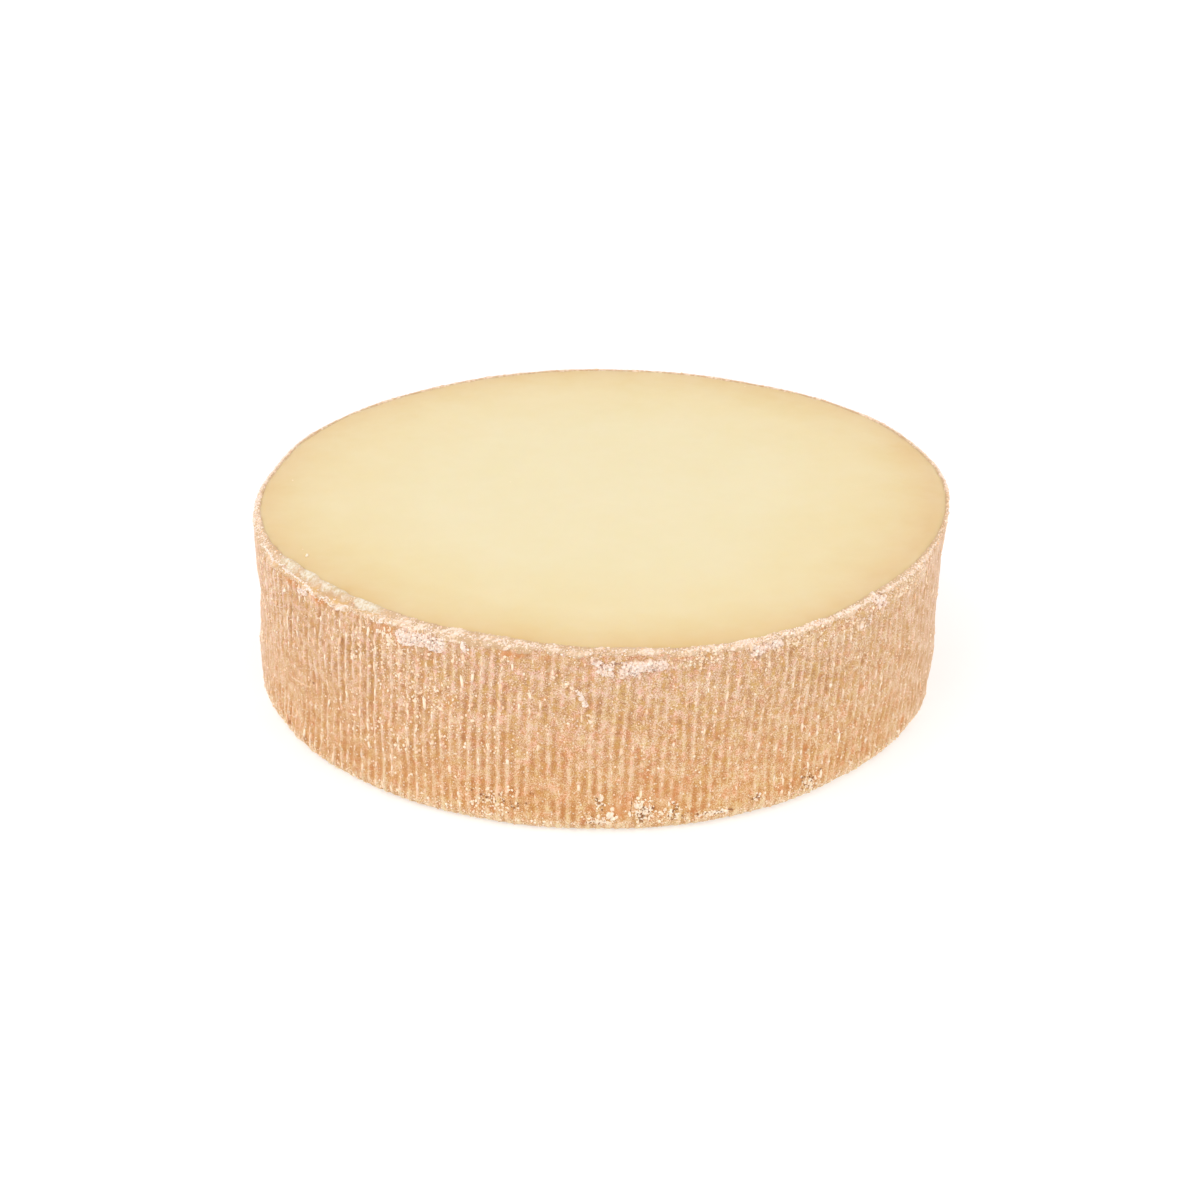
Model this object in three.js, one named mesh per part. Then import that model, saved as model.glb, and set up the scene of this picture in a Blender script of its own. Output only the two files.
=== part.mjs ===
import * as THREE from 'three';

// Half of a small washed-rind cheese wheel, cut across and lying with the cut face up. It is one piece.
// Millimetres, with Z up. The wheel stands on its uncut face, and directions are degrees round from +X.

// The wheel as a whole
const RIND_RADIUS = 60; // at the cut
const BASE_RADIUS = 59.2; // above the rounded lower edge
const WHEEL_HEIGHT = 33.3;
const LEAN = 1.4; // how far the cut face sits towards +X of the base
const OVAL = { lobes: 2, size: 0.28, at: 7 }; // out-of-round, by its lobes and the direction of the first
const THREE_SIDED = { lobes: 3, size: 0.53, at: 45 };

// Where the side stands out or falls in, by how much at the cut and at the foot
const BULGES = [
  { at: 0, spread: 12, top: 0, foot: -1.65 },
  { at: 62, spread: 24, top: -0.85, foot: -0.85 },
  { at: 103, spread: 10, top: 0.5, foot: 0.5 },
  { at: 167, spread: 13, top: -0.9, foot: -0.9 },
  { at: 181, spread: 11, top: 0, foot: -0.6 },
  { at: 206, spread: 15, top: 0.95, foot: -0.4 },
  { at: 300, spread: 30, top: 0, foot: -0.45 },
  { at: 348, spread: 14, top: -0.65, foot: 0.65 },
];

// The net's print on the side: upright ribs that come and go
const RIB_COUNT = 228;
const RIB_DEPTH = 0.34;
const SMOOTH_SCAR = { at: 208, spread: 13, height: 12, tall: 5 };
const UNEVEN = [
  { lobes: 4, size: 0.14, slant: 7 },
  { lobes: 9, size: 0.1, slant: -11 },
  { lobes: 17, size: 0.07, slant: 18 },
];
const SIDE_HEIGHTS = [2.5, 7, 12.5, 18.5, 24.5, 28.3, 29.9, 31.2];

// The lower edge
const EDGE_ROUND = 2.3;
const EDGE_SLOPE = 0.4; // share of the rounding that the edge still turns in below its middle point
const EDGE_RAGGED = 0.16;

// The crumbly rim between the cut face and the side
const RIM_WIDTH = 0.3;
const WIDE_RIM = [
  { at: 218, spread: 26, size: 2.4 },
  { at: 254, spread: 17, size: 1.9 },
  { at: 276, spread: 10, size: 0.8 },
  { at: 321, spread: 16, size: 1.45 },
  { at: 208.3, spread: 1.8, size: 0.3 },
  { at: 214, spread: 1.6, size: 0.3 },
  { at: 216.6, spread: 1.2, size: -0.3 },
  { at: 224.5, spread: 1.2, size: -0.4 },
];
const RIM_DROP = 0.35;
const LOW_RIM = [
  { at: 203, spread: 14, size: 0.9 },
  { at: 222, spread: 9, size: 0.7 },
  { at: 295, spread: 16, size: 0.6 },
];
const MIDDLE_SHARE = 0.5; // where the rim's middle line lies, from the paste to the side
const MIDDLE_DROP = 0.45; // share of the rim's drop reached there
const SHOULDER_RAGGED = 0.16; // up and down
const RIM_ROUGH = 0.1;

// The trough along the middle of the widest rim, between two ridges
const TROUGH = { at: 220, spread: 17, depth: 0.5 };

// Clumps of crumbs that hang at the rim, by direction and height below the cut
const CLUMPS = [
  { at: 215.2, spread: 1.1, below: 2.1, tall: 0.6, thick: 0.35 },
  { at: 239.4, spread: 3.2, below: 2.1, tall: 1.2, thick: 0.6 },
  { at: 243.7, spread: 1.5, below: 2.2, tall: 1.2, thick: 0.7 },
  { at: 269.6, spread: 1.7, below: 2.8, tall: 1.4, thick: 0.5 },
  { at: 273.7, spread: 1.4, below: 3, tall: 1.2, thick: 0.4 },
  { at: 276, spread: 3.4, below: 2.5, tall: 0.8, thick: 0.45 },
  { at: 294.7, spread: 2.5, below: 2, tall: 1, thick: 0.35 },
  { at: 314.4, spread: 1.3, below: 3.4, tall: 1, thick: 0.15 },
  { at: 317.6, spread: 1.5, below: 1.2, tall: 1.1, thick: 0.25 },
];

const RANDOM_SEED = 34;
const COLUMNS = RIB_COUNT * 2;
const DEGREE = Math.PI / 180;

// A seeded source of numbers from -1 to 1
function randomSource(seed) {
  let state = seed;
  return () => {
    state = (state + 0x6d2b79f5) | 0;
    let mixed = Math.imul(state ^ (state >>> 15), 1 | state);
    mixed = (mixed + Math.imul(mixed ^ (mixed >>> 7), 61 | mixed)) ^ mixed;
    return ((mixed ^ (mixed >>> 14)) >>> 0) / 2 ** 31 - 1;
  };
}

const turnBetween = (a, b) => ((((a - b + 180) % 360) + 360) % 360) - 180;
const swell = (distance, spread) => Math.exp(-((distance / spread) ** 2));
const plateau = (distance, spread) => Math.exp(-((distance / spread) ** 4)); // flatter, with steeper sides
const swells = (angle, places) =>
  places.reduce((sum, place) => sum + place.size * swell(turnBetween(angle, place.at), place.spread), 0);
const lobed = (angle, { lobes, size, at }) => size * Math.cos(lobes * (angle - at) * DEGREE);

const rimWidth = (angle) => RIM_WIDTH + swells(angle, WIDE_RIM);
const rimDrop = (angle) => RIM_DROP + swells(angle, LOW_RIM);
const troughDepth = (angle) => TROUGH.depth * plateau(turnBetween(angle, TROUGH.at), TROUGH.spread);

// The plain side, before its ribs
function sideRadius(angle, height) {
  const share = height / WHEEL_HEIGHT;
  const uneven = UNEVEN.reduce(
    (sum, { lobes, size, slant }) => sum + size * Math.sin(lobes * angle * DEGREE + slant * share),
    0,
  );
  const bulging = BULGES.reduce((sum, { at, spread, top, foot }) => {
    const size = foot + (top - foot) * share;
    return sum + size * swell(turnBetween(angle, at), spread);
  }, 0);
  const round = BASE_RADIUS + (RIND_RADIUS - BASE_RADIUS) * share;
  return round + lobed(angle, OVAL) + lobed(angle, THREE_SIDED) + uneven + bulging;
}

function ribStrength(angle, height) {
  const { at, spread, height: middle, tall } = SMOOTH_SCAR;
  const scar = swell(turnBetween(angle, at), spread) * swell(height - middle, tall);
  const around = angle * DEGREE;
  const patchy = 0.8 + 0.2 * Math.sin(7 * around + height / 3) * Math.cos(11 * around - height / 5);
  return patchy * (1 - scar);
}

const clumpThickness = (angle, height) =>
  CLUMPS.reduce((sum, { at, spread, below, tall, thick }) => {
    const across = plateau(turnBetween(angle, at), spread);
    return sum + thick * across * plateau(WHEEL_HEIGHT - below - height, tall);
  }, 0);

// The wheel's outline in one direction, as [radius, height] from the middle of the base to the middle of
// the cut face. crest is 1 on a rib and -1 between two ribs.
function outlineAt(angle, crest, rough) {
  const rib = (height) => (crest * RIB_DEPTH * ribStrength(angle, height)) / 2;
  const edge = sideRadius(angle, 0) + rib(0) + EDGE_RAGGED * rough();
  const side = SIDE_HEIGHTS.map((height) => [
    sideRadius(angle, height) + rib(height) + clumpThickness(angle, height),
    height,
  ]);
  const shoulder = WHEEL_HEIGHT - rimDrop(angle) + SHOULDER_RAGGED * rough();
  const rim = sideRadius(angle, shoulder);
  const middle = WHEEL_HEIGHT - rimDrop(angle) * MIDDLE_DROP - troughDepth(angle);
  return [
    [0, 0],
    [edge - EDGE_ROUND, 0],
    [edge - EDGE_ROUND * EDGE_SLOPE, EDGE_ROUND * EDGE_SLOPE * EDGE_SLOPE],
    ...side,
    [rim + rib(shoulder) + clumpThickness(angle, shoulder) + RIM_ROUGH * rough(), shoulder],
    [rim - rimWidth(angle) * MIDDLE_SHARE + RIM_ROUGH * rough(), middle + RIM_ROUGH * rough()],
    [rim - rimWidth(angle), WHEEL_HEIGHT],
    [0, WHEEL_HEIGHT],
  ];
}

// A lathed outline whose every column is then moved to the outline in its own direction
function wheelGeometry() {
  const rough = randomSource(RANDOM_SEED);
  const outlines = Array.from({ length: COLUMNS }, (_, column) =>
    outlineAt((360 * column) / COLUMNS, column % 2 ? -1 : 1, rough),
  );
  const start = outlines[0].map(([radius, height]) => new THREE.Vector2(radius, height));
  const geometry = new THREE.LatheGeometry(start, COLUMNS);
  const position = geometry.attributes.position;
  for (let column = 0; column <= COLUMNS; column += 1) {
    const angle = (360 * (column % COLUMNS) * DEGREE) / COLUMNS;
    outlines[column % COLUMNS].forEach(([radius, height], level) => {
      const lean = LEAN * (height / WHEEL_HEIGHT);
      const index = column * start.length + level;
      position.setXYZ(index, radius * Math.cos(angle) + lean, radius * Math.sin(angle), height);
    });
  }
  return geometry;
}

// Stands a geometry on Z = 0 with the middle of its box over the origin
function centred(geometry) {
  geometry.computeBoundingBox();
  const { min, max } = geometry.boundingBox;
  geometry.translate(-(min.x + max.x) / 2, -(min.y + max.y) / 2, -min.z);
  geometry.computeVertexNormals();
  return geometry;
}

const cheese = new THREE.MeshStandardMaterial({ color: 0xe2b68c, roughness: 0.6, metalness: 0 });

const wheel = new THREE.Mesh(centred(wheelGeometry()), cheese);
wheel.name = 'cheese_wheel';

const object = new THREE.Group();
object.add(wheel);

export default object;
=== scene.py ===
"""Half of a small washed-rind cheese wheel, cut across and lying cut face up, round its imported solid."""

import math

import bmesh
import bpy
import numpy as np
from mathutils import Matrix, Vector

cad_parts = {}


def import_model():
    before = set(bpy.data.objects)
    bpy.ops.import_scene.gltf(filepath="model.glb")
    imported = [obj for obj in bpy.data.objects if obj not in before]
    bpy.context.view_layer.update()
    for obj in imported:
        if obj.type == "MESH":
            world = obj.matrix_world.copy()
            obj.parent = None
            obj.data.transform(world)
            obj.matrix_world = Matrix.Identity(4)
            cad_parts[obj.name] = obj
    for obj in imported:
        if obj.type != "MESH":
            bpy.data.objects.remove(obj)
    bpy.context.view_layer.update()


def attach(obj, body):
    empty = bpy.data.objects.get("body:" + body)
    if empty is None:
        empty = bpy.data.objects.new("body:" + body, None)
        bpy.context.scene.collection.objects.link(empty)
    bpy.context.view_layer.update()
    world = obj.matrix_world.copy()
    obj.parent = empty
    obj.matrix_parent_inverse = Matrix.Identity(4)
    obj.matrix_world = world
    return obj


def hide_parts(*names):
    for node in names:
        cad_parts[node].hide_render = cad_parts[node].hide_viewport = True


MM = 0.001  # every size below is in millimetres, and meshes are in metres
NODE = "cheese_wheel"


def table(names, *rows):
    """A dictionary for each row of values, with the same names in all."""
    return [dict(zip(names.split(), row)) for row in rows]


# The wheel, with the named sizes of its solid. Directions and spreads are in degrees
AXIS = (-1.01, 0.63)  # where the wheel's own axis meets the base
RIND_RADIUS = 60.0
BASE_RADIUS = 59.2
WHEEL_HEIGHT = 33.3
LEAN = 1.4
OVAL = {"lobes": 2, "size": 0.28, "at": 7}
THREE_SIDED = {"lobes": 3, "size": 0.53, "at": 45}
BULGES = table(
    "at spread top foot",
    (0, 12, 0, -1.65),
    (62, 24, -0.85, -0.85),
    (103, 10, 0.5, 0.5),
    (167, 13, -0.9, -0.9),
    (181, 11, 0, -0.6),
    (206, 15, 0.95, -0.4),
    (300, 30, 0, -0.45),
    (348, 14, -0.65, 0.65),
)
UNEVEN = table(
    "lobes size slant",
    (4, 0.14, 7),
    (9, 0.1, -11),
    (17, 0.07, 18),
)
RIB_COUNT = 228
RIB_DEPTH = 0.34
SMOOTH_SCAR = {"at": 208, "spread": 13, "height": 12, "tall": 5}
DULL_PATCH = {"at": 225, "spread": 13, "height": 13, "tall": 6}
EDGE_ROUND = 2.3
RIM_WIDTH = 0.3
WIDE_RIM = table(
    "at spread size",
    (218, 26, 2.4),
    (254, 17, 1.9),
    (276, 10, 0.8),
    (321, 16, 1.45),
    (208.3, 1.8, 0.3),
    (214, 1.6, 0.3),
    (216.6, 1.2, -0.3),
    (224.5, 1.2, -0.4),
)
RIM_DROP = 0.35
LOW_RIM = table(
    "at spread size",
    (203, 14, 0.9),
    (222, 9, 0.7),
    (295, 16, 0.6),
)
TROUGH = {"at": 220, "spread": 17, "depth": 0.5}
CLUMPS = table(
    "at spread below tall thick",
    (215.2, 1.1, 2.1, 0.6, 0.35),
    (239.4, 3.2, 2.1, 1.2, 0.6),
    (243.7, 1.5, 2.2, 1.2, 0.7),
    (269.6, 1.7, 2.8, 1.4, 0.5),
    (273.7, 1.4, 3, 1.2, 0.4),
    (276, 3.4, 2.5, 0.8, 0.45),
    (294.7, 2.5, 2, 1, 0.35),
    (314.4, 1.3, 3.4, 1, 0.15),
    (317.6, 1.5, 1.2, 1.1, 0.25),
)

# Marks on the side, by direction and height
AMBER_AND_SHADE_PATCHES = table(
    "at height spread tall size",
    (218.5, 31.6, 1.5, 0.7, 1.2),
    (212, 31.7, 3.5, 0.6, 0.5),
    (234, 31.4, 2, 0.7, 1),
    # painted shadow under the clumps that hang at 239 to 244 degrees
    (240, 29.3, 6, 0.7, 0.35),
    (257, 31.6, 5, 0.6, 0.6),
    (272.5, 4.6, 1.6, 1.8, 0.5),
    (281, 7.5, 3, 2.5, 0.3),
    (331, 3.8, 1.2, 0.9, 1.2),
)
FLECKS_AND_SHADOWS = table(
    "at height size",
    (250.9, 3.9, 0.25), (256.3, 4.5, 0.22), (257.2, 6.8, 0.22), (259.7, 6.9, 0.18),
    (269.5, 6.8, 0.3), (276.9, 2.9, 0.5), (282.3, 4.1, 0.25), (287.3, 2.3, 0.4),
    (289, 2.1, 0.3), (291.2, 2.3, 0.35), (295.6, 3.5, 0.35), (304.8, 3.1, 0.3),
    # the last, at 216.6 degrees, is a painted shadow above the end of the raised crack on the smooth scar
    (306.3, 3.7, 0.25), (308, 4.7, 0.25), (216.6, 14.6, 0.25),
)
# a dark line of painted shadow in the crevice between crumbs
CREVICE_SHADOW = ((274.9, 6.8), (275.1, 5.5), (274.9, 4.2), (275.2, 3.1))
WHITE_TRAILS = table(
    "size shade path",
    (0.18, 0.8, ((247.6, 32.6), (247.8, 31.8), (248.4, 30.9))),
    (0.14, 0.7, ((266.1, 26.1), (266.6, 25.1), (267.4, 23.6))),
)
PALE_TRAILS = table(
    "size shade path",
    (0.25, 0.8, ((232.3, 30.5), (233.3, 30.5), (234.6, 30.3), (234.9, 28.6))),
    (0.22, 0.8, ((234.6, 30.3), (236.1, 28.9))),
    (0.1, 0.3, ((209.9, 12.4), (213.8, 13.1), (216, 13.4), (216.3, 14.4))),
    (0.11, 0.4, ((302, 26.8), (303.8, 26.2))),
    (0.35, 0.6, ((319.2, 1.1), (320.2, 0.6))),
)
LUMPS = table(
    "at height size long",
    (271.9, 3.4, 0.75, 1.3),
    (276, 5.6, 0.62, 1.8),
    (315.4, 2.9, 0.3, 1),
    (208.8, 29.2, 0.26, 1.6),
    (268.1, 20.7, 0.26, 1),
    (238.3, 14.5, 0.2, 2.5),
    (240, 13.9, 0.18, 1),
    (311, 10.9, 0.24, 1),
    (356.2, 32.7, 0.4, 1),
)
PASTE_FLECKS = table(
    "at radius size long",
    (206.9, 55.5, 0.24, 2.4),
    (204.3, 55.3, 0.1, 1),
    (174, 55.2, 0.12, 1),
    (163, 17.4, 0.1, 1),
    (62, 56.8, 0.12, 1),
)
CRUMB_CLUSTERS = table(
    "at height spread tall count",
    (269.8, 2.2, 1.5, 1, 90), (270, 6.2, 0.7, 1.2, 26), (277.2, 4, 1.6, 1.4, 110),
    (282, 3.2, 2, 1.5, 50), (288.5, 2.2, 2.2, 0.8, 60), (295.8, 3.6, 0.8, 0.8, 16),
    (305.5, 2.8, 1.6, 1.6, 46), (253.5, 5, 4, 2.2, 80), (237, 28.1, 0.6, 0.4, 14),
    (227.2, 24.1, 0.7, 0.6, 14), (223.4, 23.8, 0.5, 0.5, 8), (240, 22, 7, 3.5, 150),
    (232, 27.5, 8, 3, 90), (248, 17, 9, 5, 110), (234, 13, 8, 4, 90),
    (268.1, 20.7, 0.7, 0.9, 14), (264.5, 27, 0.9, 1, 16), (246, 29.5, 2.5, 1, 14),
    (254, 30.6, 1, 0.7, 12), (285, 31.3, 5, 1.2, 70), (300, 31, 6, 1.4, 90),
    (312, 30.6, 5, 1.8, 80), (326, 31.6, 6, 1, 60),
)

# On the rim, by direction and by share of the way across it from the side to the paste
SLABS = table(
    "at spread outer",
    (208.3, 2.4, 0.42),
    (213.9, 2.2, 0.56),
    (220.4, 3.6, 0.56),
    (228.2, 3.2, 0.42),
)
LACE = (  # direction and place across the rim
    (199.3, 0.4), (203.3, 0.38), (205.1, 0.24), (207.1, 0.4), (209.1, 0.26), (211, 0.34),
    (213, 0.28), (214.8, 0.24), (216.8, 0.14), (218.2, -0.05), (219.3, -0.4), (220, 0),
    (221.1, 0.15), (222.3, -0.35), (223.9, -0.32), (225.9, 0.18), (226.6, -0.22), (228.4, -0.45),
    (230.2, -0.42), (232.3, -0.38), (233.8, 0.15),
)
BRIGHT_CRUMBS = (  # direction, middle and half-width across the rim, and how many
    (185, 0.35, 0.9, 0.9), (200, 0.4, 0.5, 0.5), (206, 0.35, 0.4, 0.4), (214, 0.15, 0.25, 0.35),
    (222, -0.12, 0.33, 0.5), (230, -0.1, 0.38, 0.65), (236, 0.15, 0.6, 0.7), (246, 0.4, 0.6, 0.9),
    (251, 0.5, 0.4, 0.8), (255.4, 0.4, 0.45, 0.9), (258.5, 0.6, 0.4, 0.9), (264, 0.35, 0.5, 0.5),
    (270, 0.3, 0.5, 0.6), (280, 0.35, 0.4, 0.5), (290, 0.4, 0.5, 1), (310, 0.45, 0.35, 1),
    (335, 0.35, 0.35, 0.7), (350, 0.2, 0.35, 0.4),
)

# Regions of the side, by direction and spread
BROKEN_RIBS = (215, 30)  # strongly broken into dashes
FAINT_RIBS = (316, 28)  # weak, and partly broken
PLAIN_ENDS = ((346, 23), (190, 9))  # nearly smooth, at both ends of the front

# The fine surface
COLUMNS_PER_RIB = 6
COLUMNS = RIB_COUNT * COLUMNS_PER_RIB
RIM_COLUMNS = 2 * COLUMNS
ALL_ROWS = 400  # a noise smoothed over so much is the same in every row
BASE_SHARES = (0.5, 0.97)  # of the foot's radius, for the rings of the flat base
ROUND_ROWS = 5
SIDE_ROWS = 58
RIM_ROWS = 5
SLAB_HEIGHT = 0.1
OVERHANG = 0.08  # how much of the side's height a rim's width is
RIM_LOW = 0.2  # how far the rim's inner edge lies below the cut
RIM_TUCK = 0.6  # how far the rim runs on under the paste
SKIRT_TOP = 0.9  # how far below the cut the paste's side meets the rim
CRUST_REACH = 4.4  # how far below the shoulder the crumbly crust can hang
CRUST_SIDE_ROWS = 21
CRUST_TOP_ROWS = 11
CRUST_SUNK = 0.45  # how deep the crust's hidden parts lie
PASTE_COLUMNS = 456
PASTE_RINGS = 70
PASTE_DEPTH = 12.0
PASTE_TAPER = 5.0  # how far in its hidden lower edge lies, so that it stays inside the rind

# Bits. A size is a half-width: its middle, spread, lowest and highest
RIM_CRUMB_TRIES = 8500
RIM_CRUMB_SIZE = (0.12, 0.3, 0.06, 0.24)
BRIGHT_TRIES = 9000
LACE_STEP = 0.09  # degrees between the crumbs of the lace
LACE_SIZE = (0.13, 0.35, 0.08, 0.26)
CLUMP_CRUMBS = 270  # in a clump at the rim, by its size
CLUMP_SIZE = (0.14, 0.4, 0.06, 0.32)
LUMP_CRUMBS = 12  # in each lump on the side
CLUSTER_SIZE = (0.18, 0.35, 0.1, 0.34)
FOOT_CRUMBS = 1500
FOOT_SIZE = (0.15, 0.35, 0.08, 0.32)
DASH_TRIES = 8500
DASH_SIZE = (0.16, 0.3, 0.08, 0.32)
SPECKS = ((3500, 0.09), (2000, 0.17))  # how many, and their middle size
LOWEST_CRUMB = 0.4  # the height of the lowest crumbs in a cluster
UPRIGHT = [[0, -0.02, 1]]  # a fleck's normal on the paste, tipped a little so that it has a rise

STUDIO_LIGHT = 1.21  # how much brighter than white the studio lights a level white sheet
CRUMB_LIGHT = 1.0  # the same for a small crumb, which stands partly in its own shadow
WHITE = [1.0, 1.0, 1.0, 1.0]
CORAL = [1.05, 0.93, 0.95, 1.0]  # what a coral blush multiplies the rind's colour by
STRAW = [0.98, 1.0, 0.87, 1.0]  # the same for a straw yellow one
DRY_ROUGHNESS = ((0.3, 0.5), (0.7, 0.75))  # by the grain of dry rind
FLOOR_GLOW = 0.48  # the floor is lit from below too, so that it stays white round the base
LIGHT_TARGET = (0, 0, 15)

# The camera, from a fit of the wheel's outline
CAMERA_TARGET = (-0.51, -7.41, 16.65)
CAMERA_DISTANCE = 480.0
CAMERA_ELEVATION = 26.2
CAMERA_LENS = 82.8


# ----- forms


def turn_between(a, b):
    return (a - b + 180) % 360 - 180


def swell(distance, spread):
    return np.exp(-((distance / spread) ** 2))


def plateau(distance, spread):
    """A swell with a flatter top and steeper sides."""
    return np.exp(-((distance / spread) ** 4))


def swell_at(turn, at, spread):
    """A swell round one direction."""
    return swell(turn_between(turn, at), spread)


def plateau_at(turn, at, spread):
    return plateau(turn_between(turn, at), spread)


def swells(turn, places):
    return sum(place["size"] * swell_at(turn, place["at"], place["spread"]) for place in places)


def lobed(turn, shape):
    return shape["size"] * np.cos(np.radians(shape["lobes"] * (turn - shape["at"])))


def side_radius(turn, height):
    """The plain side, before its ribs."""
    share = height / WHEEL_HEIGHT
    uneven = sum(
        wave["size"] * np.sin(np.radians(wave["lobes"] * turn) + wave["slant"] * share)
        for wave in UNEVEN
    )
    bulging = sum(
        (bulge["foot"] + (bulge["top"] - bulge["foot"]) * share)
        * swell_at(turn, bulge["at"], bulge["spread"])
        for bulge in BULGES
    )
    plain = BASE_RADIUS + (RIND_RADIUS - BASE_RADIUS) * share
    return plain + lobed(turn, OVAL) + lobed(turn, THREE_SIDED) + uneven + bulging


def rim_width(turn):
    return RIM_WIDTH + swells(turn, WIDE_RIM)


def rim_drop(turn):
    return RIM_DROP + swells(turn, LOW_RIM)


def shoulder_height(turn):
    return WHEEL_HEIGHT - rim_drop(turn)


def paste_radius(turn):
    return side_radius(turn, shoulder_height(turn)) - rim_width(turn)


def clump_thickness(turn, height):
    """How thick the clumps are at a place on the side, in millimetres."""
    return sum(
        clump["thick"]
        * plateau_at(turn, clump["at"], clump["spread"])
        * plateau(WHEEL_HEIGHT - clump["below"] - height, clump["tall"])
        for clump in CLUMPS
    )


def ledge_share(turn):
    """How far the rim has a trough between two ridges, from 0 to 1."""
    return plateau_at(turn, TROUGH["at"], TROUGH["spread"])


def rim_level(across):
    """The level of a share of the way across the rim. A share below 0 hangs over on the side."""
    return 1 + np.where(across < 0, OVERHANG * across, across)


def slab_share(turn, across):
    """How far a place on the rim lies on one of its smooth slabs, from 0 to 1."""
    return sum(
        plateau_at(turn, slab["at"], slab["spread"])
        * smooth_step(slab["outer"] - 0.08, slab["outer"] + 0.08, across)
        for slab in SLABS
    )


def bright_share(turn, across):
    """How far the crumbs on the rim are pale ones, from 0 to 1."""
    at, middle, wide, share = zip(*BRIGHT_CRUMBS)
    away = (across - np.interp(turn, at, middle)) / np.interp(turn, at, wide)
    return np.interp(turn, at, share) * np.exp(-(away**2))


def front_share(turn):
    """How far a direction is to the front, where the rim is crumbly all over, from 0 to 1."""
    return smooth_step(-0.4, 0.5, -np.sin(np.radians(turn)))


def patch_share(turn, height, patch):
    """How far a place on the side lies in a patch, from 0 to 1."""
    across = swell_at(turn, patch["at"], patch["spread"])
    return across * swell(height - patch["height"], patch["tall"])


def side_length():
    """The height of the straight part of the side."""
    return WHEEL_HEIGHT - EDGE_ROUND - RIM_DROP


def in_row_frame(turn, radius, height):
    """Points in metres from directions in degrees, radii and heights in millimetres."""
    turn, radius, height = np.broadcast_arrays(turn, radius, height)
    across = np.radians(turn)
    lean = LEAN * height / WHEEL_HEIGHT
    x = radius * np.cos(across) + lean + AXIS[0]
    y = radius * np.sin(across) + AXIS[1]
    return np.stack([x, y, height], axis=-1) * MM


def under_paste(turn, inset, depth):
    """A ring of points inside the paste's edge and below the cut."""
    return in_row_frame(turn, paste_radius(turn) - inset, WHEEL_HEIGHT - depth)


class SmoothNoise:
    """Seeded noise on a grid that closes round the wheel, with a mean of 0 and a spread of 1."""

    def __init__(self, seed, shape, steps):
        self.random = np.random.default_rng(seed)
        self.shape = shape
        self.along = np.fft.fftfreq(shape[0], steps[0])[:, None]
        self.across = np.fft.rfftfreq(shape[1], steps[1])[None, :]

    def __call__(self, across, along):
        """Smoothed over so many millimetres across the columns and along them."""
        spectrum = np.fft.rfft2(self.random.standard_normal(self.shape))
        spectrum *= np.exp(-2 * (math.pi * across * self.across) ** 2)
        spectrum *= np.exp(-2 * (math.pi * along * self.along) ** 2)
        field = np.fft.irfft2(spectrum, self.shape)
        return (field - field.mean()) / field.std()


def smooth_step(low, high, value):
    share = np.clip((value - low) / (high - low), 0, 1)
    return share * share * (3 - 2 * share)


# ----- meshes


def new_piece(name, points, faces, material, **attributes):
    mesh = bpy.data.meshes.new(name)
    mesh.from_pydata(np.asarray(points).tolist(), [], faces)
    mesh.polygons.foreach_set("use_smooth", np.ones(len(mesh.polygons), dtype=bool))
    for key, values in attributes.items():
        layer = mesh.attributes.new(key, "FLOAT", "POINT")
        layer.data.foreach_set("value", np.asarray(values, dtype=np.float32).ravel())
    mesh.materials.append(material)
    mesh.validate()
    mesh.update()
    piece = bpy.data.objects.new(name, mesh)
    bpy.context.scene.collection.objects.link(piece)
    return piece


def band_faces(rows, columns, bands):
    """Quads in so many bands between rows of a grid whose columns close round.

    With as many bands as rows it closes both ways, as a ring's skin does.
    """
    row, column = np.meshgrid(np.arange(bands), np.arange(columns), indexing="ij")
    ahead = (column + 1) % columns
    lower, upper = row * columns, (row + 1) % rows * columns
    corners = [lower + column, lower + ahead, upper + ahead, upper + column]
    return np.stack(corners, axis=-1).reshape(-1, 4).tolist()


def closed_grid_faces(rows, columns):
    """Faces of a grid that closes round, with a fan onto a point at each end.

    The two ends' points follow the grid's own.
    """
    around = np.arange(columns)
    ahead = (around + 1) % columns
    first, last = rows * columns, rows * columns + 1
    top = (rows - 1) * columns
    below = np.stack([np.full(columns, first), ahead, around], axis=-1)
    above = np.stack([np.full(columns, last), top + around, top + ahead], axis=-1)
    return band_faces(rows, columns, rows - 1) + below.tolist() + above.tolist()


def grid_normals(points):
    """Outward normals of a grid whose rows go up or in and whose columns go round."""
    across = np.roll(points, -1, axis=1) - np.roll(points, 1, axis=1)
    along = np.gradient(points, axis=0)
    normals = np.cross(across, along)
    return normals / np.maximum(np.linalg.norm(normals, axis=-1, keepdims=True), 1e-12)


def on_outline(turn, level):
    """Radius, height and outward normal of the plain outline.

    A level is -1 to 0 round the lower edge, 0 to 1 up the side and 1 to 2 across the rim.
    """
    turn, level = np.broadcast_arrays(turn, level)
    shoulder = shoulder_height(turn)
    foot = side_radius(turn, 0)
    angle = np.radians(90 * np.clip(level + 1, 0, 1))
    height = EDGE_ROUND + (shoulder - EDGE_ROUND) * np.clip(level, 0, 1)
    across = np.clip(level - 1, 0, 1)
    ledge = ledge_share(turn)
    tilt = np.radians(30 + 60 * across)
    rim_height = shoulder + (rim_drop(turn) - RIM_LOW) * (1 - (1 - across) ** 1.7)
    rim_height = rim_height - TROUGH["depth"] * ledge * swell(across - 0.45, 0.22)
    places = [level < 0, level <= 1]
    radii = [foot - EDGE_ROUND * (1 - np.sin(angle)), side_radius(turn, height)]
    rim_radius = side_radius(turn, shoulder) - rim_width(turn) * across
    return (
        np.select(places, radii, rim_radius),
        np.select(places, [EDGE_ROUND * (1 - np.cos(angle)), height], rim_height),
        np.select(places, [np.sin(angle), np.ones_like(level)], np.cos(tilt)),
        np.select(places, [-np.cos(angle), np.zeros_like(level)], np.sin(tilt)),
    )


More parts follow.
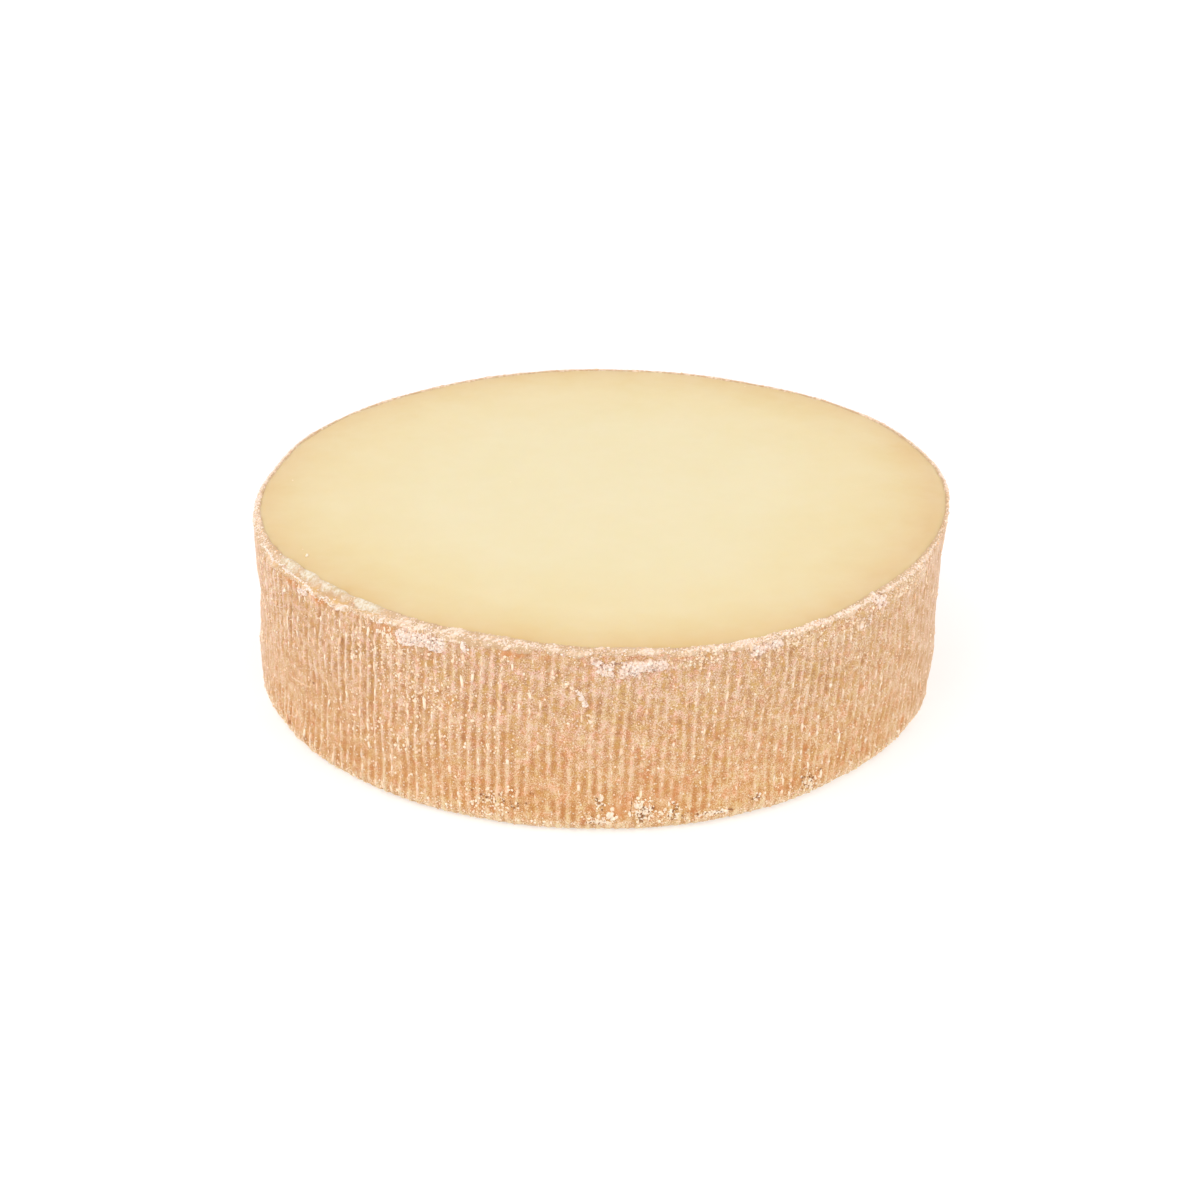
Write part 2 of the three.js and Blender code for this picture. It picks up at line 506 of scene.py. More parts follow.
class Grid:
    """A surface whose rows go round the wheel, and where things lie on it."""

    def __init__(self, levels, columns, seed):
        self.levels = np.asarray(levels)
        self.columns = columns
        self.rows = len(levels)
        self.turn = np.broadcast_to(np.arange(columns) * (360 / columns), (self.rows, columns))
        self.level = self.levels[:, None] + np.zeros((1, columns))
        row_step = np.median(np.diff(self.levels)) * side_length()
        column_step = 2 * math.pi * RIND_RADIUS / columns
        self.noise = SmoothNoise(seed, (self.rows, columns), (row_step, column_step))

    def finish(self, points):
        self.points = points
        self.normals = grid_normals(points)

    def place(self, turn, level):
        """Points and normals at directions in degrees and levels."""
        row = np.interp(level, self.levels, np.arange(self.rows))
        row = np.minimum(row, self.rows - 1.001)
        column = (turn % 360) / 360 * self.columns
        low_row, low_column = row.astype(int), column.astype(int) % self.columns
        high_row, high_column = low_row + 1, (low_column + 1) % self.columns
        up, over = (row % 1)[:, None], (column % 1)[:, None]

        def blend(grid):
            lower = grid[low_row, low_column] * (1 - over) + grid[low_row, high_column] * over
            upper = grid[high_row, low_column] * (1 - over) + grid[high_row, high_column] * over
            return lower * (1 - up) + upper * up

        normals = blend(self.normals)
        return blend(self.points), normals / np.linalg.norm(normals, axis=-1, keepdims=True)


def rib_wobble(grid, height):
    """How far the ribs stray to the side, in degrees."""
    lean = 0.1 * swell_at(grid.turn, 212, 14) * (height - 20)
    return np.degrees((0.12 * grid.noise(4, 5) + lean) / RIND_RADIUS)


def rib_strength(grid, height, broken, faint, plain):
    """How strong the ribs are at each place, from 0 to 1.3."""
    turn, noise = grid.turn, grid.noise
    top = smooth_step(28.5, 31.5, height) * plateau_at(turn, 288, 48)
    dashes = 0.8 * noise(0.4, 0.55) + (0.5 - 0.3 * faint) * noise(0.6, 2.5)
    dashed = 0.12 + 1.2 * smooth_step(-0.5, 0.5, dashes)
    strength = 0.8 - 0.25 * faint + 0.15 * noise(6, 6) + 0.1 * noise(0.7, 4) + 0.38 * noise(0.7, 1)
    strength = strength * (1 - 0.35 * top) * (1 - 0.7 * plain)
    share = np.clip(broken + 0.85 * faint, 0, 1)
    strength = strength * (1 - share) + dashed * share * (1 - 0.7 * plain)
    strength = np.clip(strength, 0.03, 1.3) * (1 - 0.93 * patch_share(turn, height, SMOOTH_SCAR))
    return strength * np.clip(1 - (grid.level - 1) * 8, 0, 1)


def rib_swing(turn, height, broken):
    """How much lighter a rib's crest is than the middle of its flank."""
    swing = 0.29 + 0.05 * broken - 0.05 * plateau_at(turn, 308, 28)
    swing -= 0.08 * smooth_step(12, 22, height) * plateau_at(turn, 325, 20)
    return swing - 0.03 * plateau_at(turn, 246, 16)


def rind_surface():
    """The side with its ribs, and the rim in its plain form."""
    rounding = np.arange(ROUND_ROWS) / ROUND_ROWS - 1
    side = np.arange(SIDE_ROWS) / SIDE_ROWS
    rim = 1 + np.arange(RIM_ROWS) / (RIM_ROWS - 1)
    grid = Grid(np.concatenate([rounding, side, rim]), COLUMNS, seed=11)
    turn, level, noise = grid.turn, grid.level, grid.noise
    radius, height, out, up = on_outline(turn, level)

    broken = swell_at(turn, *BROKEN_RIBS)
    faint = plateau_at(turn, *FAINT_RIBS)
    plain = sum(swell_at(turn, *end) for end in PLAIN_ENDS)
    wave = np.cos(2 * math.pi * np.arange(COLUMNS)[None, :] / COLUMNS_PER_RIB)
    sharpness = 1.3 + broken + 0.5 * faint
    phase = 2 * ((1 + wave) / 2) ** sharpness - 1 + 0.25 * (sharpness - 1)
    ribs = phase * rib_strength(grid, height, broken, faint, plain)
    # Deeper orange patches of the rind's own colour, and one painted shadow under a hanging clump.
    amber = sum(patch["size"] * patch_share(turn, height, patch) for patch in AMBER_AND_SHADE_PATCHES)
    grid.amber = np.clip(amber * (1 + 0.5 * noise(0.5, 0.5)), 0, 1)
    bead = noise(0.3, 0.3)
    blotch = noise(0.7, 0.6)
    swing = rib_swing(turn, height, broken)
    grid.crest = 0.5 - 0.05 * broken + swing * ribs + 0.1 * bead + 0.06 * blotch
    # Painted light: at both ends of the front, near the outline, the crests are painted lighter, more
    # towards the top, for the bright halo along the outline.
    grid.crest += (0.05 + 0.1 * smooth_step(27, 32, height)) * plain
    grid.crest -= 0.06 * patch_share(turn, height, DULL_PATCH)
    grid.sandy = 1 - 0.35 * broken - 0.7 * plain
    grid.rosy = 1 - 0.7 * swell_at(turn, 315, 28)

    relief = 0.5 * RIB_DEPTH * ribs
    relief += 0.025 * bead + 0.035 * noise(0.9, 1.1) + 0.05 * noise(3, 3)
    relief *= np.clip(out, 0, 1) * np.clip((level + 1) * 2, 0, 1)
    for fleck in FLECKS_AND_SHADOWS:
        over = np.radians(turn_between(turn, fleck["at"])) * RIND_RADIUS
        relief -= 0.5 * fleck["size"] * swell(over, 0.4) * swell(height - fleck["height"], 0.5)
    turn = turn + rib_wobble(grid, height)
    points = in_row_frame(turn, radius + relief * out, height + relief * up)
    points[..., 2] = np.maximum(points[..., 2], 0)
    grid.finish(points)
    return grid


def rind_piece(grid, material):
    """The rind with its flat base, closed under the paste."""
    turn = grid.turn[0]
    foot = side_radius(turn, 0) - EDGE_ROUND
    base = [in_row_frame(turn, foot * share, 0) for share in BASE_SHARES]
    tuck = under_paste(turn, RIM_TUCK, 2 * RIM_TUCK)
    rows = np.concatenate([base, grid.points, tuck[None]])
    ends = in_row_frame(0, 0, np.array([0, WHEEL_HEIGHT - 2 * RIM_TUCK]))
    points = np.concatenate([rows.reshape(-1, 3), ends])
    shown = slice(len(base) * COLUMNS, (len(base) + grid.rows) * COLUMNS)
    attributes = {}
    for name in ("crest", "amber", "sandy", "rosy"):
        attributes[name] = np.full(len(points), 0.5)
        attributes[name][shown] = getattr(grid, name).ravel()
    faces = closed_grid_faces(len(rows), COLUMNS)
    return new_piece("cheese_rind", points, faces, material, **attributes)


def rim_surface():
    """The crumbly crust on the rim and its hanging clumps, sunk where it doesn't show."""
    below = np.linspace(CRUST_REACH, 0, CRUST_SIDE_ROWS, endpoint=False)
    across = np.linspace(0, 1, CRUST_TOP_ROWS)
    grid = Grid(np.concatenate([1 - below / side_length(), 1 + across]), RIM_COLUMNS, seed=31)
    turn, level, noise = grid.turn, grid.level, grid.noise
    radius, height, out, up = on_outline(turn, level)

    below = (1 - np.minimum(level, 1)) * side_length()
    across = np.maximum(level - 1, 0)
    deep = 0.35 * plateau_at(turn, 252, 38) + 0.4 * plateau_at(turn, 231, 14)
    reach = np.maximum(0.2 + deep + 0.2 * noise(2.2, ALL_ROWS)[:1], 0)
    fringe = (reach - below) / 0.25 + 0.8 * noise(0.45, 0.45)
    fringe = np.where(level > 1, 1.5, fringe)
    clump = clump_thickness(turn + 0.55 * noise(0.7, 0.7), height + 0.3 * noise(0.6, 0.6))
    hanging = clump / 0.14 - 1.2 + 0.6 * noise(0.35, 0.35)
    cover = np.clip(np.maximum(fringe, hanging), -1, 1)
    lace = np.exp(-((noise(0.22, 0.22) / 0.55) ** 2))
    lump = noise(0.7, 0.6)
    uneven = across + 0.09 * noise(0.5, 0.5)
    smooth = slab_share(turn + 0.4 * noise(0.4, 0.4), uneven) * (level > 1)
    rough = (0.12 * lace + 0.06 * lump + 0.03 * noise(0.2, 0.2)) * (1 - 0.75 * smooth)
    rough *= 0.4 + 0.6 * front_share(turn)
    shown = np.clip(cover, 0, 1)
    thick = np.where(cover < 0, CRUST_SUNK * cover, 0.12 * cover) + shown * rough
    thick += shown * np.clip(clump, 0, 0.8) * (0.1 + 0.8 * lace + 0.2 * lump) + SLAB_HEIGHT * smooth

    grid.clump = np.clip(clump / 0.4, 0, 1)
    bright = np.clip(bright_share(turn, uneven) + clump / 0.3, 0, 1)
    grid.lace = np.clip((0.2 * (1 - grid.clump) + lace) * bright * shown + 0.12 * lump, 0, 1)
    golden = ledge_share(turn) * swell(uneven - 0.24, 0.16) * (level > 1) * (1 - smooth)
    grid.trough = golden * np.clip(0.8 + 0.7 * lump, 0, 1)
    grid.smooth = smooth
    grid.finish(in_row_frame(turn, radius + thick * out, height + thick * up))
    return grid


def rim_piece(grid, material):
    """The crust as a closed ring, whose hidden sides lie inside the rind and under the paste."""
    turn = grid.turn[0]
    radius, height, _, _ = on_outline(turn, grid.levels[0])
    tucks = [under_paste(turn, RIM_TUCK, RIM_TUCK), in_row_frame(turn, radius - 2 * RIM_TUCK, height)]
    rows = np.concatenate([grid.points, tucks])
    faces = band_faces(len(rows), RIM_COLUMNS, len(rows))
    padding = np.zeros(len(tucks) * RIM_COLUMNS)
    attributes = {
        name: np.concatenate([getattr(grid, name).ravel(), padding])
        for name in ("lace", "trough", "smooth", "clump")
    }
    return new_piece("cheese_rim", rows.reshape(-1, 3), faces, material, **attributes)


def paste_piece(material):
    """The paste that shows at the cut: a slab with a softly uneven face, sunk into the rind."""
    turn = np.arange(PASTE_COLUMNS)[None, :] * (360 / PASTE_COLUMNS)
    column_step = 2 * math.pi * RIND_RADIUS / PASTE_COLUMNS
    noise = SmoothNoise(23, (PASTE_RINGS, PASTE_COLUMNS), (column_step, column_step))
    ragged = (0.12 + 0.1 * ledge_share(turn)) * noise(0.7, ALL_ROWS)
    edge = paste_radius(turn) + ragged[:1] + 0.1
    inward = np.linspace(0, 1, PASTE_RINGS)[:, None] ** 1.25
    radius = edge * (1 - 0.985 * inward)
    away = edge - radius
    rounding = 0.32 * np.exp(-away / 0.45) + 0.1 * np.exp(-away / 3)
    top = in_row_frame(turn, radius, WHEEL_HEIGHT - rounding)
    fade = np.clip(1 - inward * 1.2, 0, 1)
    top[..., 2] += MM * 0.02 * noise(1.6, 1.6) * fade
    skirt = [under_paste(turn, PASTE_TAPER, PASTE_DEPTH), under_paste(turn, RIM_TUCK, SKIRT_TOP)]
    grid = np.concatenate([*skirt, top])
    ends = in_row_frame(0, 0, np.array([WHEEL_HEIGHT - PASTE_DEPTH, WHEEL_HEIGHT]))
    points = np.concatenate([grid.reshape(-1, 3), ends])
    # Painted shade: the paste is painted a little deeper in colour near its right edge, where the rim
    # shades it.
    right_edge_shade = 0.045 * swell_at(turn, 342, 36)
    hidden = np.ones(len(skirt) * PASTE_COLUMNS)
    nearness = np.concatenate([hidden, (radius / edge + right_edge_shade).ravel(), [0, 0]])
    faces = closed_grid_faces(len(grid), PASTE_COLUMNS)
    return new_piece("cheese_paste", points, faces, material, nearness=nearness)


# ----- scattered bits


def level_at(turn, height):
    """The level of a height on the side."""
    return (height - EDGE_ROUND) / (shoulder_height(turn) - EDGE_ROUND)


def blob(subdivisions):
    """A ball's points and triangles, as the shape that every bit starts from."""
    shape = bmesh.new()
    bmesh.ops.create_icosphere(shape, subdivisions=subdivisions, radius=1)
    points = np.array([vertex.co[:] for vertex in shape.verts])
    faces = np.array([[vertex.index for vertex in face.verts] for face in shape.faces])
    shape.free()
    return points, faces


class Bits:
    """Many small lumps on a surface, each with its size and lie."""

    def __init__(self, seed):
        self.random = np.random.default_rng(seed)
        self.parts = []

    def sizes(self, count, middle, spread, low, high):
        return np.clip(self.random.lognormal(math.log(middle), spread, count), low, high)

    def add(self, grid, turn, level, size, **looks):
        """Lumps at directions in degrees and levels of a grid."""
        points, normals = grid.place(turn, level)
        self.lay(points, normals, size, **looks)

    def lay(self, points, normals, size, long=1.0, flat=0.7, spin=180.0, shade=None):
        """Lumps of a half-width size in millimetres, long and flat as shares of it.

        spin is how far each is turned at most from upright, in degrees.
        """
        count = len(points)
        shade = self.random.uniform(0, 1, count) if shade is None else np.broadcast_to(shade, count)
        angle = np.radians(self.random.uniform(-spin, spin, count))
        over = np.stack(np.broadcast_arrays(1.0, long, flat, np.zeros(count))[:3], axis=-1)
        self.parts.append((points, normals, np.asarray(size)[:, None] * over, angle, shade))

    def piece(self, name, material, ragged=0.35, subdivisions=1):
        """One mesh of all the lumps."""
        points, normals, sizes, angle, shade = (np.concatenate(part) for part in zip(*self.parts))
        shape, shape_faces = blob(subdivisions)
        count, corners = len(points), len(shape)
        lumps = shape[None] * (1 + ragged * self.random.uniform(-1, 1, (count, corners, 1)))
        side = np.cross([0.0, 0.0, 1.0], normals)
        side /= np.maximum(np.linalg.norm(side, axis=-1, keepdims=True), 1e-9)
        rise = np.cross(normals, side)
        cosine, sine = np.cos(angle)[:, None], np.sin(angle)[:, None]
        frame = np.stack([side * cosine + rise * sine, rise * cosine - side * sine, normals], axis=1)
        lumps = np.einsum("nci,nij->ncj", lumps * sizes[:, None] * MM, frame) + points[:, None]
        lumps[..., 2] = np.maximum(lumps[..., 2], 0)
        faces = (shape_faces[None] + corners * np.arange(count)[:, None, None]).reshape(-1, 3)
        shade = np.repeat(shade, corners)
        return new_piece(name, lumps.reshape(-1, 3), faces.tolist(), material, shade=shade)


def scatter_on_rim(bits, rim, tries, wanted, shade):
    """Crumbs on the rim at as many of the tries as wanted gives a share of."""
    turn = bits.random.uniform(0, 360, tries)
    across = bits.random.uniform(-0.35, 0.95, tries)
    share = wanted(turn, across) * (1 - 0.9 * slab_share(turn, across))
    kept = bits.random.uniform(0, 1, tries) < share
    count = np.count_nonzero(kept)
    size = bits.sizes(count, *RIM_CRUMB_SIZE)
    looks = np.clip(bits.random.normal(shade, 0.25, count), 0, 1)
    bits.add(rim, turn[kept], rim_level(across[kept]), size, shade=looks)


def rim_crumbs(rim, material):
    """Fine crumbs all along the rim."""
    bits = Bits(seed=5)
    scatter_on_rim(bits, rim, RIM_CRUMB_TRIES, lambda turn, across: 0.12 + 0.2 * front_share(turn), 0.3)
    return bits.piece("rim_crumbs", material, ragged=0.3)


def lace_crumbs(rim, material):
    """White crumbs in the bright places of the rim, and in the broken lace along its outer edge."""
    bits = Bits(seed=37)
    random = bits.random
    scatter_on_rim(bits, rim, BRIGHT_TRIES, lambda turn, across: 0.8 * bright_share(turn, across), 0.6)
    lace_turn, lace_across = (np.array(places) for places in zip(*LACE))
    turn = np.arange(lace_turn[0], lace_turn[-1], LACE_STEP)
    broken = np.interp(turn, np.arange(0, 360, 0.9), random.uniform(0, 1, 400))
    turn = turn[random.uniform(0, 0.42, len(turn)) < broken]
    across = np.interp(turn, lace_turn, lace_across) + random.normal(0, 0.045, len(turn))
    shade = random.uniform(0.5, 1, len(turn))
    size = bits.sizes(len(turn), *LACE_SIZE)
    bits.add(rim, turn, rim_level(across), size, shade=shade)
    return bits.piece("lace_crumbs", material)


def clump_crumbs(rim, material):
    """Crumbs in the clumps that hang at the rim."""
    bits = Bits(seed=43)
    random = bits.random
    for clump in CLUMPS:
        count = int(CLUMP_CRUMBS * clump["spread"] * clump["tall"] * clump["thick"])
        turn = clump["at"] + random.uniform(-1, 1, count) * clump["spread"]
        height = WHEEL_HEIGHT - clump["below"] + random.uniform(-1, 1, count) * clump["tall"]
        level = np.clip(level_at(turn, height), 0.87, 1.0)
        shade = random.uniform(0.2, 1, count)
        bits.add(rim, turn, level, bits.sizes(count, *CLUMP_SIZE), flat=0.9, shade=shade)
    return bits.piece("clump_crumbs", material)


def spaced_along(path, gap):
    """Directions and heights every so many millimetres along a path on the side."""
    turn, height = (np.array(places, dtype=float) for places in zip(*path))
    lengths = np.hypot(np.diff(np.radians(turn)) * RIND_RADIUS, np.diff(height))
    reach = np.concatenate([[0], np.cumsum(lengths)])
    places = np.arange(0, reach[-1], gap)
    return np.interp(places, reach, turn), np.interp(places, reach, height)


def add_trails(bits, rind, trails, stray):
    for trail in trails:
        turn, height = spaced_along(trail["path"], 0.8 * trail["size"])
        size = bits.sizes(len(turn), trail["size"], 0.3, 0.08, 0.5)
        turn = turn + bits.random.normal(0, stray, len(turn))
        height = height + bits.random.normal(0, stray, len(turn))
        shade = trail["shade"] + bits.random.uniform(-0.4, 0.2, len(turn))
        bits.add(rind, turn, level_at(turn, height), size, shade=shade)


def white_trails(rind, material):
    """Smears of white bloom on the side."""
    bits = Bits(seed=19)
    for _ in range(3):
        add_trails(bits, rind, WHITE_TRAILS, stray=0.2)
    return bits.piece("white_trails", material)


def in_cluster(random, cluster, count):
    """Directions and heights of so many crumbs in a cluster."""
    turn = random.normal(cluster["at"], 0.6 * cluster["spread"], count)
    height = random.normal(cluster["height"], 0.6 * cluster["tall"], count)
    return turn, np.maximum(height, LOWEST_CRUMB)


def side_crumbs(rind, material):
    """Pale trails, lumps and clusters of crumbs on the side, and crumbs all round its foot."""
    bits = Bits(seed=17)
    random = bits.random
    add_trails(bits, rind, PALE_TRAILS, stray=0.08)
    for lump in LUMPS:
        size = 0.5 * lump["size"]
        turn = random.normal(lump["at"], size, LUMP_CRUMBS)
        height = random.normal(lump["height"], size * lump["long"], LUMP_CRUMBS)
        sizes = bits.sizes(LUMP_CRUMBS, size, 0.3, 0.1, 0.5)
        bits.add(rind, turn, level_at(turn, height), sizes, shade=random.uniform(0.5, 1, LUMP_CRUMBS))
    for cluster in CRUMB_CLUSTERS:
        turn, height = in_cluster(random, cluster, cluster["count"])
        low = smooth_step(12, 4, height)
        shade = random.uniform(0.25 + 0.25 * low, 0.9 + 0.1 * low)
        sizes = bits.sizes(cluster["count"], *CLUSTER_SIZE)
        bits.add(rind, turn, level_at(turn, height), sizes, flat=0.8, shade=shade)
    turn = random.uniform(0, 360, FOOT_CRUMBS)
    level = random.uniform(-0.85, 0.05, FOOT_CRUMBS)
    bits.add(rind, turn, level, bits.sizes(FOOT_CRUMBS, *FOOT_SIZE))
    return bits.piece("side_crumbs", material)


def flecks_and_painted_shade(rind, material):
    """Dark brown specks low on the side in small pits, their dark partly painted shade of the pits, and
    painted shade: the crevice between crumbs, a shadow above the crack on the scar and dark bits between
    the low crumbs.
    """
    bits = Bits(seed=29)
    random = bits.random
    for fleck in FLECKS_AND_SHADOWS:
        turn = fleck["at"] + random.normal(0, 0.2, 4)
        height = fleck["height"] + random.normal(0, 0.2, 4)
        size = fleck["size"] * random.uniform(0.4, 0.8, 4)
        bits.add(rind, turn, level_at(turn, height), size, flat=0.3)
    turn, height = spaced_along(CREVICE_SHADOW, 0.2)
    size = random.uniform(0.03, 0.15, len(turn))
    bits.add(rind, turn, level_at(turn, height), size, long=1.2, flat=0.3, spin=30)
    # Painted shade: dark bits between the crumbs of the low clusters.
    for cluster in CRUMB_CLUSTERS:
        count = cluster["count"] // 5 if cluster["height"] < 8 else 0
        turn, height = in_cluster(random, cluster, count)
        bits.add(rind, turn, level_at(turn, height), random.uniform(0.08, 0.2, count), flat=1.6)
    return bits.piece("flecks_and_painted_shade", material, ragged=0.3, subdivisions=2)


def rib_bloom(rind, material):
    """Short pale dashes of dry bloom on the crests of the ribs."""
    bits = Bits(seed=13)
    random = bits.random
    rib = random.integers(0, RIB_COUNT, DASH_TRIES) + random.normal(0, 0.07, DASH_TRIES)
    turn = rib * 360 / RIB_COUNT
    height = random.uniform(0.5, WHEEL_HEIGHT - 1.2, DASH_TRIES)
    left = swell_at(turn, 222, 24)
    right = plateau_at(turn, 306, 22)
    wanted = (0.1 + 0.4 * left + 0.2 * right) * (1 - patch_share(turn, height, SMOOTH_SCAR))
    kept = random.uniform(0, 1, DASH_TRIES) < wanted
    turn, height = turn[kept], height[kept]
    count = len(turn)
    size = bits.sizes(count, *DASH_SIZE)
    long = random.uniform(1.2, 4.0, count) * (1 + 0.3 * left[kept])
    bits.add(rind, turn, level_at(turn, height), size, long=long, flat=0.55, spin=12)
    return bits.piece("rib_bloom", material, ragged=0.2)


def paste_flecks(material):
    """Small pale flecks on the paste."""
    bits = Bits(seed=3)
    for fleck in PASTE_FLECKS:
        point = in_row_frame(fleck["at"], fleck["radius"], WHEEL_HEIGHT)[None]
        bits.lay(point, UPRIGHT, [fleck["size"]], long=fleck["long"], flat=0.3, spin=5, shade=0.8)
    return bits.piece("paste_flecks", material, ragged=0.25, subdivisions=2)


def bloom_specks(rind, material):
    """Fine pale specks all over the side."""
    bits = Bits(seed=7)
    random = bits.random
    for count, middle in SPECKS:
        turn = random.uniform(0, 360, count)
        level = random.uniform(-0.3, 1.0, count)
        bits.add(rind, turn, level, bits.sizes(count, middle, 0.25, 0.05, 0.27), flat=0.8)
    return bits.piece("bloom_specks", material, ragged=0.3)


# ----- materials


def linear(red, green, blue, light=STUDIO_LIGHT):
    """The linear colour that looks like a display colour of 0 to 255 a channel in some light."""
    channels = [channel / 255 for channel in (red, green, blue)]
    wanted = [c / 12.92 if c <= 0.04045 else ((c + 0.055) / 1.055) ** 2.4 for c in channels]
    return [channel / light for channel in wanted] + [1.0]


class Shader:
    """A material under construction: its nodes and their links."""

    def __init__(self, name):
        self.material = bpy.data.materials.new(name)
        self.material.use_nodes = True
        self.nodes = self.material.node_tree.nodes
        self.links = self.material.node_tree.links
        self.nodes.clear()
        self.place = self.node("TexCoord", {}).outputs["Object"]

    def node(self, kind, inputs, **settings):
        """A new node with its settings, each input linked to an output or set to a plain value."""
        node = self.nodes.new("ShaderNode" + kind)
        for name, value in settings.items():
            setattr(node, name, value)
        for key, value in inputs.items():
            if isinstance(value, bpy.types.NodeSocket):
                self.links.new(value, node.inputs[key])
            else:
                node.inputs[key].default_value = value
        return node

    def finished(self, inputs):
        """The material, with the inputs of its main shader."""
        main = self.node("BsdfPrincipled", inputs)
        self.node("OutputMaterial", {"Surface": main.outputs["BSDF"]})
        return self.material

    def attribute(self, name):
        return self.node("Attribute", {}, attribute_name=name).outputs["Fac"]

    def texture(self, kind, size, **inputs):
        """A texture whose features are about size millimetres across."""
        return self.node(kind, {"Vector": self.place, "Scale": 1 / (size * MM), **inputs})

    def noise(self, size, detail=3.0, roughness=0.55):
        return self.texture("TexNoise", size, Detail=detail, Roughness=roughness).outputs["Fac"]

    def dots(self, spacing):
        """Distance to the nearest of many scattered points, in shares of their spacing."""
        return self.texture("TexVoronoi", spacing).outputs["Distance"]

    def height_share(self, top):
        """The height above the base, as a share of the way to another height."""
        height = self.node("SeparateXYZ", {"Vector": self.place}).outputs["Z"]
        return self.node("MapRange", {"Value": height, "From Max": top * MM}).outputs["Result"]

    def ramp(self, value, *stops):
        """A ramp through (position, colour) stops, where a single number is a grey."""
        node = self.node("ValToRGB", {"Fac": value})
        elements = node.color_ramp.elements
        while len(elements) < len(stops):
            elements.new(0.5)
        for element, (position, colour) in zip(elements, stops):
            element.position = position
            element.color = colour if isinstance(colour, list) else [colour, colour, colour, 1]
        return node.outputs["Color"]

    def math(self, operation, first, second):
        return self.node("Math", {0: first, 1: second}, operation=operation).outputs["Value"]

    def times(self, first, second):
        return self.math("MULTIPLY", first, second)

    def swung(self, value, noise, amount):
        """A value that a noise moves up and down."""
        return self.math("ADD", value, self.times(self.math("SUBTRACT", noise, 0.5), amount))

    def mix(self, share, first, second, blend="MIX"):
        inputs = {"Factor": share, 6: first, 7: second}  # 6 and 7 are a Mix node's two colours
        return self.node("Mix", inputs, data_type="RGBA", blend_type=blend).outputs[2]

    def bump(self, height, distance, **normal):
        """A bumped normal, whose bumps are so many millimetres high."""
        inputs = {"Height": height, "Distance": distance * MM, **normal}
        return self.node("Bump", inputs).outputs["Normal"]


def soft_finish(weight, scale, green=0.6, gloss=0.3):
    """How far light goes in and how glossy the surface is, at first as dry rind has them."""
    return {
        "Subsurface Weight": weight,
        "Subsurface Radius": (1.0, green, 0.35),
        "Subsurface Scale": scale * MM,
        "Specular IOR Level": gloss,
    }


def rind_material():
    shader = Shader("rind")
    grain = shader.noise(0.2, detail=1.5, roughness=0.6)
    sandy = shader.attribute("sandy")
    crest = shader.swung(shader.attribute("crest"), grain, shader.times(sandy, 3.1))
    ribs = shader.ramp(
        crest,
        (0.0, linear(185, 131, 85)),
        (0.25, linear(205, 155, 107)),
        (0.5, linear(220, 179, 139)),
        (0.75, linear(240, 206, 174)),
        (1.0, linear(254, 230, 205)),
    )
    orange = shader.ramp(
        crest,
        (0.1, linear(211, 141, 76)),
        (0.45, linear(225, 167, 104)),
        (0.85, linear(246, 213, 168)),
    )
    pink = shader.ramp(shader.noise(0.6, detail=2), (0.46, 0.0), (0.6, 0.85))
    rosy = shader.times(pink, shader.attribute("rosy"))
    raised = shader.ramp(crest, (0.3, 0.15), (0.6, 1.0))
    blush = shader.mix(shader.times(rosy, raised), ribs, linear(242, 200, 182))
    ochre = shader.ramp(shader.noise(0.9, detail=2), (0.46, 0.0), (0.62, 0.85))
    sunk = shader.ramp(crest, (0.4, 1.0), (0.7, 0.3))
    yellow = shader.times(shader.times(ochre, sunk), sandy)
    patchy = shader.mix(yellow, blush, linear(219, 170, 100))
    height = shader.height_share(WHEEL_HEIGHT)
    low = shader.ramp(height, (0.0, 0.6), (0.12, 0.85), (0.35, 0.5), (0.8, 0.0))
    warm = shader.mix(shader.times(low, sandy), patchy, orange)
    blotches = shader.noise(2, detail=2, roughness=0.8)
    tint = shader.ramp(blotches, (0.36, CORAL), (0.47, WHITE), (0.53, WHITE), (0.64, STRAW))
    tinted = shader.mix(sandy, warm, tint, "MULTIPLY")
    # Painted light: the foot is painted lighter and yellower, most on the crests, to undo the shade of the
    # rounded lower edge; its yellow is partly the rind's own colour.
    foot = shader.ramp(shader.height_share(3.4), (0.1, 1.0), (1.0, 0.0))
    lit_foot_crests = shader.ramp(crest, (0.42, 0.15), (0.6, 1.0))
    golden = shader.mix(shader.times(foot, lit_foot_crests), tinted, linear(255, 234, 192))
    # Deeper orange patches, and one painted shadow under a hanging clump.
    amber = shader.mix(shader.attribute("amber"), golden, linear(222, 148, 82))
    # Pale bloom dots, each ringed with a painted shadow in darker brown, as a raised speck would cast.
    distance = shader.dots(0.95)
    dot_shadow_ring = shader.ramp(distance, (0.17, 0.0), (0.22, 0.45), (0.36, 0.0))
    dot_shadowed = shader.mix(dot_shadow_ring, amber, linear(206, 150, 100))
    dots = shader.ramp(distance, (0.13, 0.9), (0.19, 0.0))
    fine = shader.bump(shader.noise(0.3), 0.08)
    return shader.finished({
        "Base Color": shader.mix(dots, dot_shadowed, linear(255, 234, 204)),
        "Roughness": shader.ramp(grain, *DRY_ROUGHNESS),
        "Normal": shader.bump(dots, 0.05, Normal=fine),
        **soft_finish(0.15, 0.6),
    })


